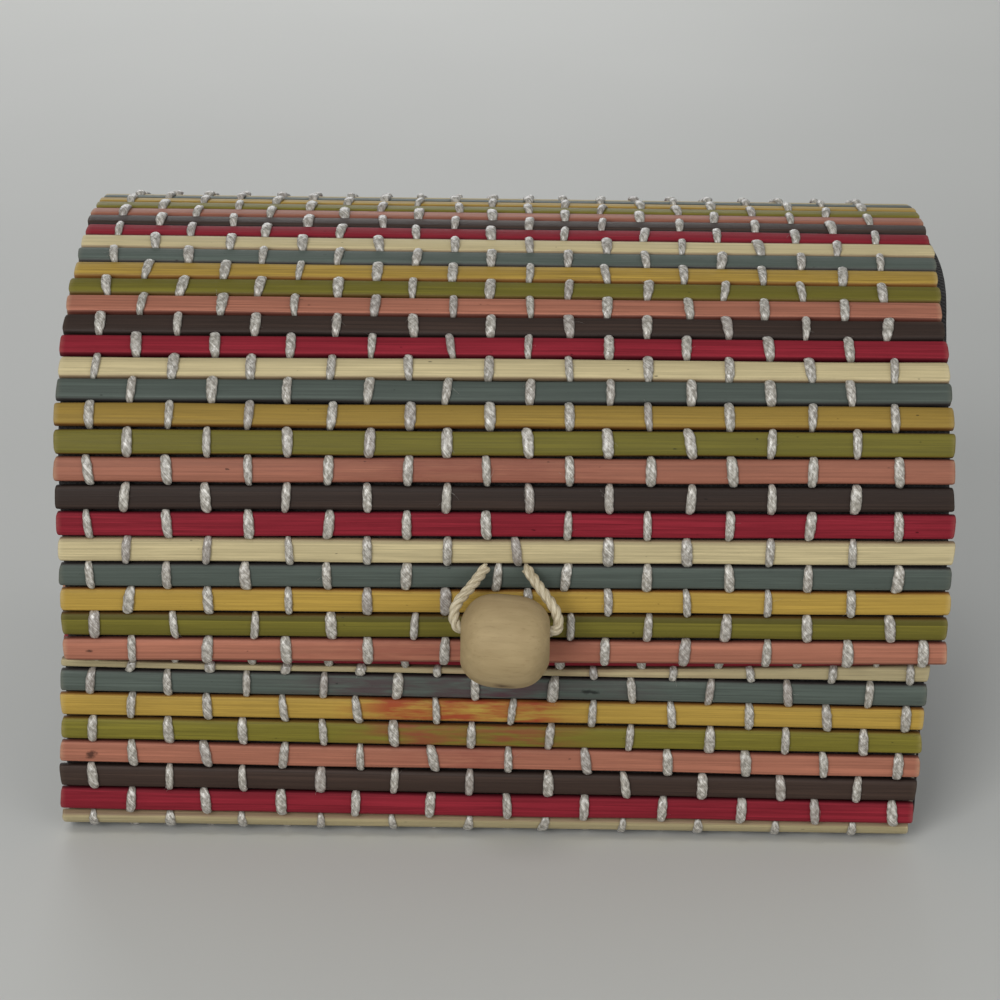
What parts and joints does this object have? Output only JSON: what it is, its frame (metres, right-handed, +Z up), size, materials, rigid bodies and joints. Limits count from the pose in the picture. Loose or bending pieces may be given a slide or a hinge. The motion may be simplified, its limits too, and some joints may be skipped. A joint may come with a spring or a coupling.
{
  "type": "trinket box",
  "caption": "Small domed-lid trinket box of dyed bamboo slats woven with cotton yarn, with a cloth-hinged lid, a front flap and a wooden bead pull on a cord.",
  "frame": {"origin": "on the table, under the middle of the closed box, measured without the cord and its bead", "axes": "+X along the slats to the right as seen from the front, +Y to the back, +Z up; the flap and bead face -Y"},
  "size_m": [0.132, 0.1155, 0.0878],
  "materials": {
    "bamboo_pink": "dyed bamboo, satin",
    "bamboo_olive": "dyed bamboo, satin",
    "bamboo_yellow": "dyed bamboo, satin",
    "bamboo_blue": "dyed bamboo, satin",
    "bamboo_cream": "dyed bamboo, satin",
    "bamboo_red": "dyed bamboo, satin",
    "bamboo_brown": "dyed bamboo, satin",
    "warp_yarn": "twisted cotton yarn",
    "lining_cloth": "matt woven cloth",
    "end_cloth": "matt woven cloth",
    "end_card": "grey board",
    "cord_cotton": "twisted cotton cord",
    "bead_wood": "plain wood, no lacquer"
  },
  "bodies": {
    "base": {"base_slats_pink": "bamboo_pink", "base_slats_olive": "bamboo_olive", "base_slats_yellow": "bamboo_yellow", "base_slats_blue": "bamboo_blue", "base_slats_cream": "bamboo_cream", "base_slats_red": "bamboo_red", "base_slats_brown": "bamboo_brown", "base_front_yarn": "warp_yarn", "base_floor_yarn": "warp_yarn", "base_back_yarn": "warp_yarn", "base_lining": "lining_cloth", "base_end_board_left": "end_card", "base_end_board_right": "end_card", "base_end_cover_left": "end_cloth", "base_end_cover_right": "end_cloth", "hinge_cloth": "lining_cloth"},
    "lid": {"lid_slats_pink": "bamboo_pink", "lid_slats_olive": "bamboo_olive", "lid_slats_yellow": "bamboo_yellow", "lid_slats_blue": "bamboo_blue", "lid_slats_cream": "bamboo_cream", "lid_slats_red": "bamboo_red", "lid_slats_brown": "bamboo_brown", "lid_yarn": "warp_yarn", "lid_lining": "lining_cloth", "lid_end_board_left": "end_card", "lid_end_board_right": "end_card", "lid_end_cover_left": "end_cloth", "lid_end_cover_right": "end_cloth", "cord_knots": "cord_cotton"},
    "pull": {"pull_cord": "cord_cotton"},
    "bead": {"pull_bead": "bead_wood"}
  },
  "joints": [
    {"name": "lid_hinge", "type": "hinge", "parent": "base", "child": "lid", "pos_m": [0, 0.0495, 0.0436], "axis": [-1, 0, 0], "range_deg": [0, 100], "deforming": ["hinge_cloth"]},
    {"name": "pull_swing", "type": "hinge", "parent": "lid", "child": "pull", "pos_m": [0, -0.0511, 0.0484], "axis": [-1, 0, 0], "range_deg": [0, 105]},
    {"name": "bead_spin", "type": "hinge", "parent": "pull", "child": "bead", "pos_m": [0, -0.05768, 0.0396], "axis": [1, 0, 0], "continuous": true}
  ]
}
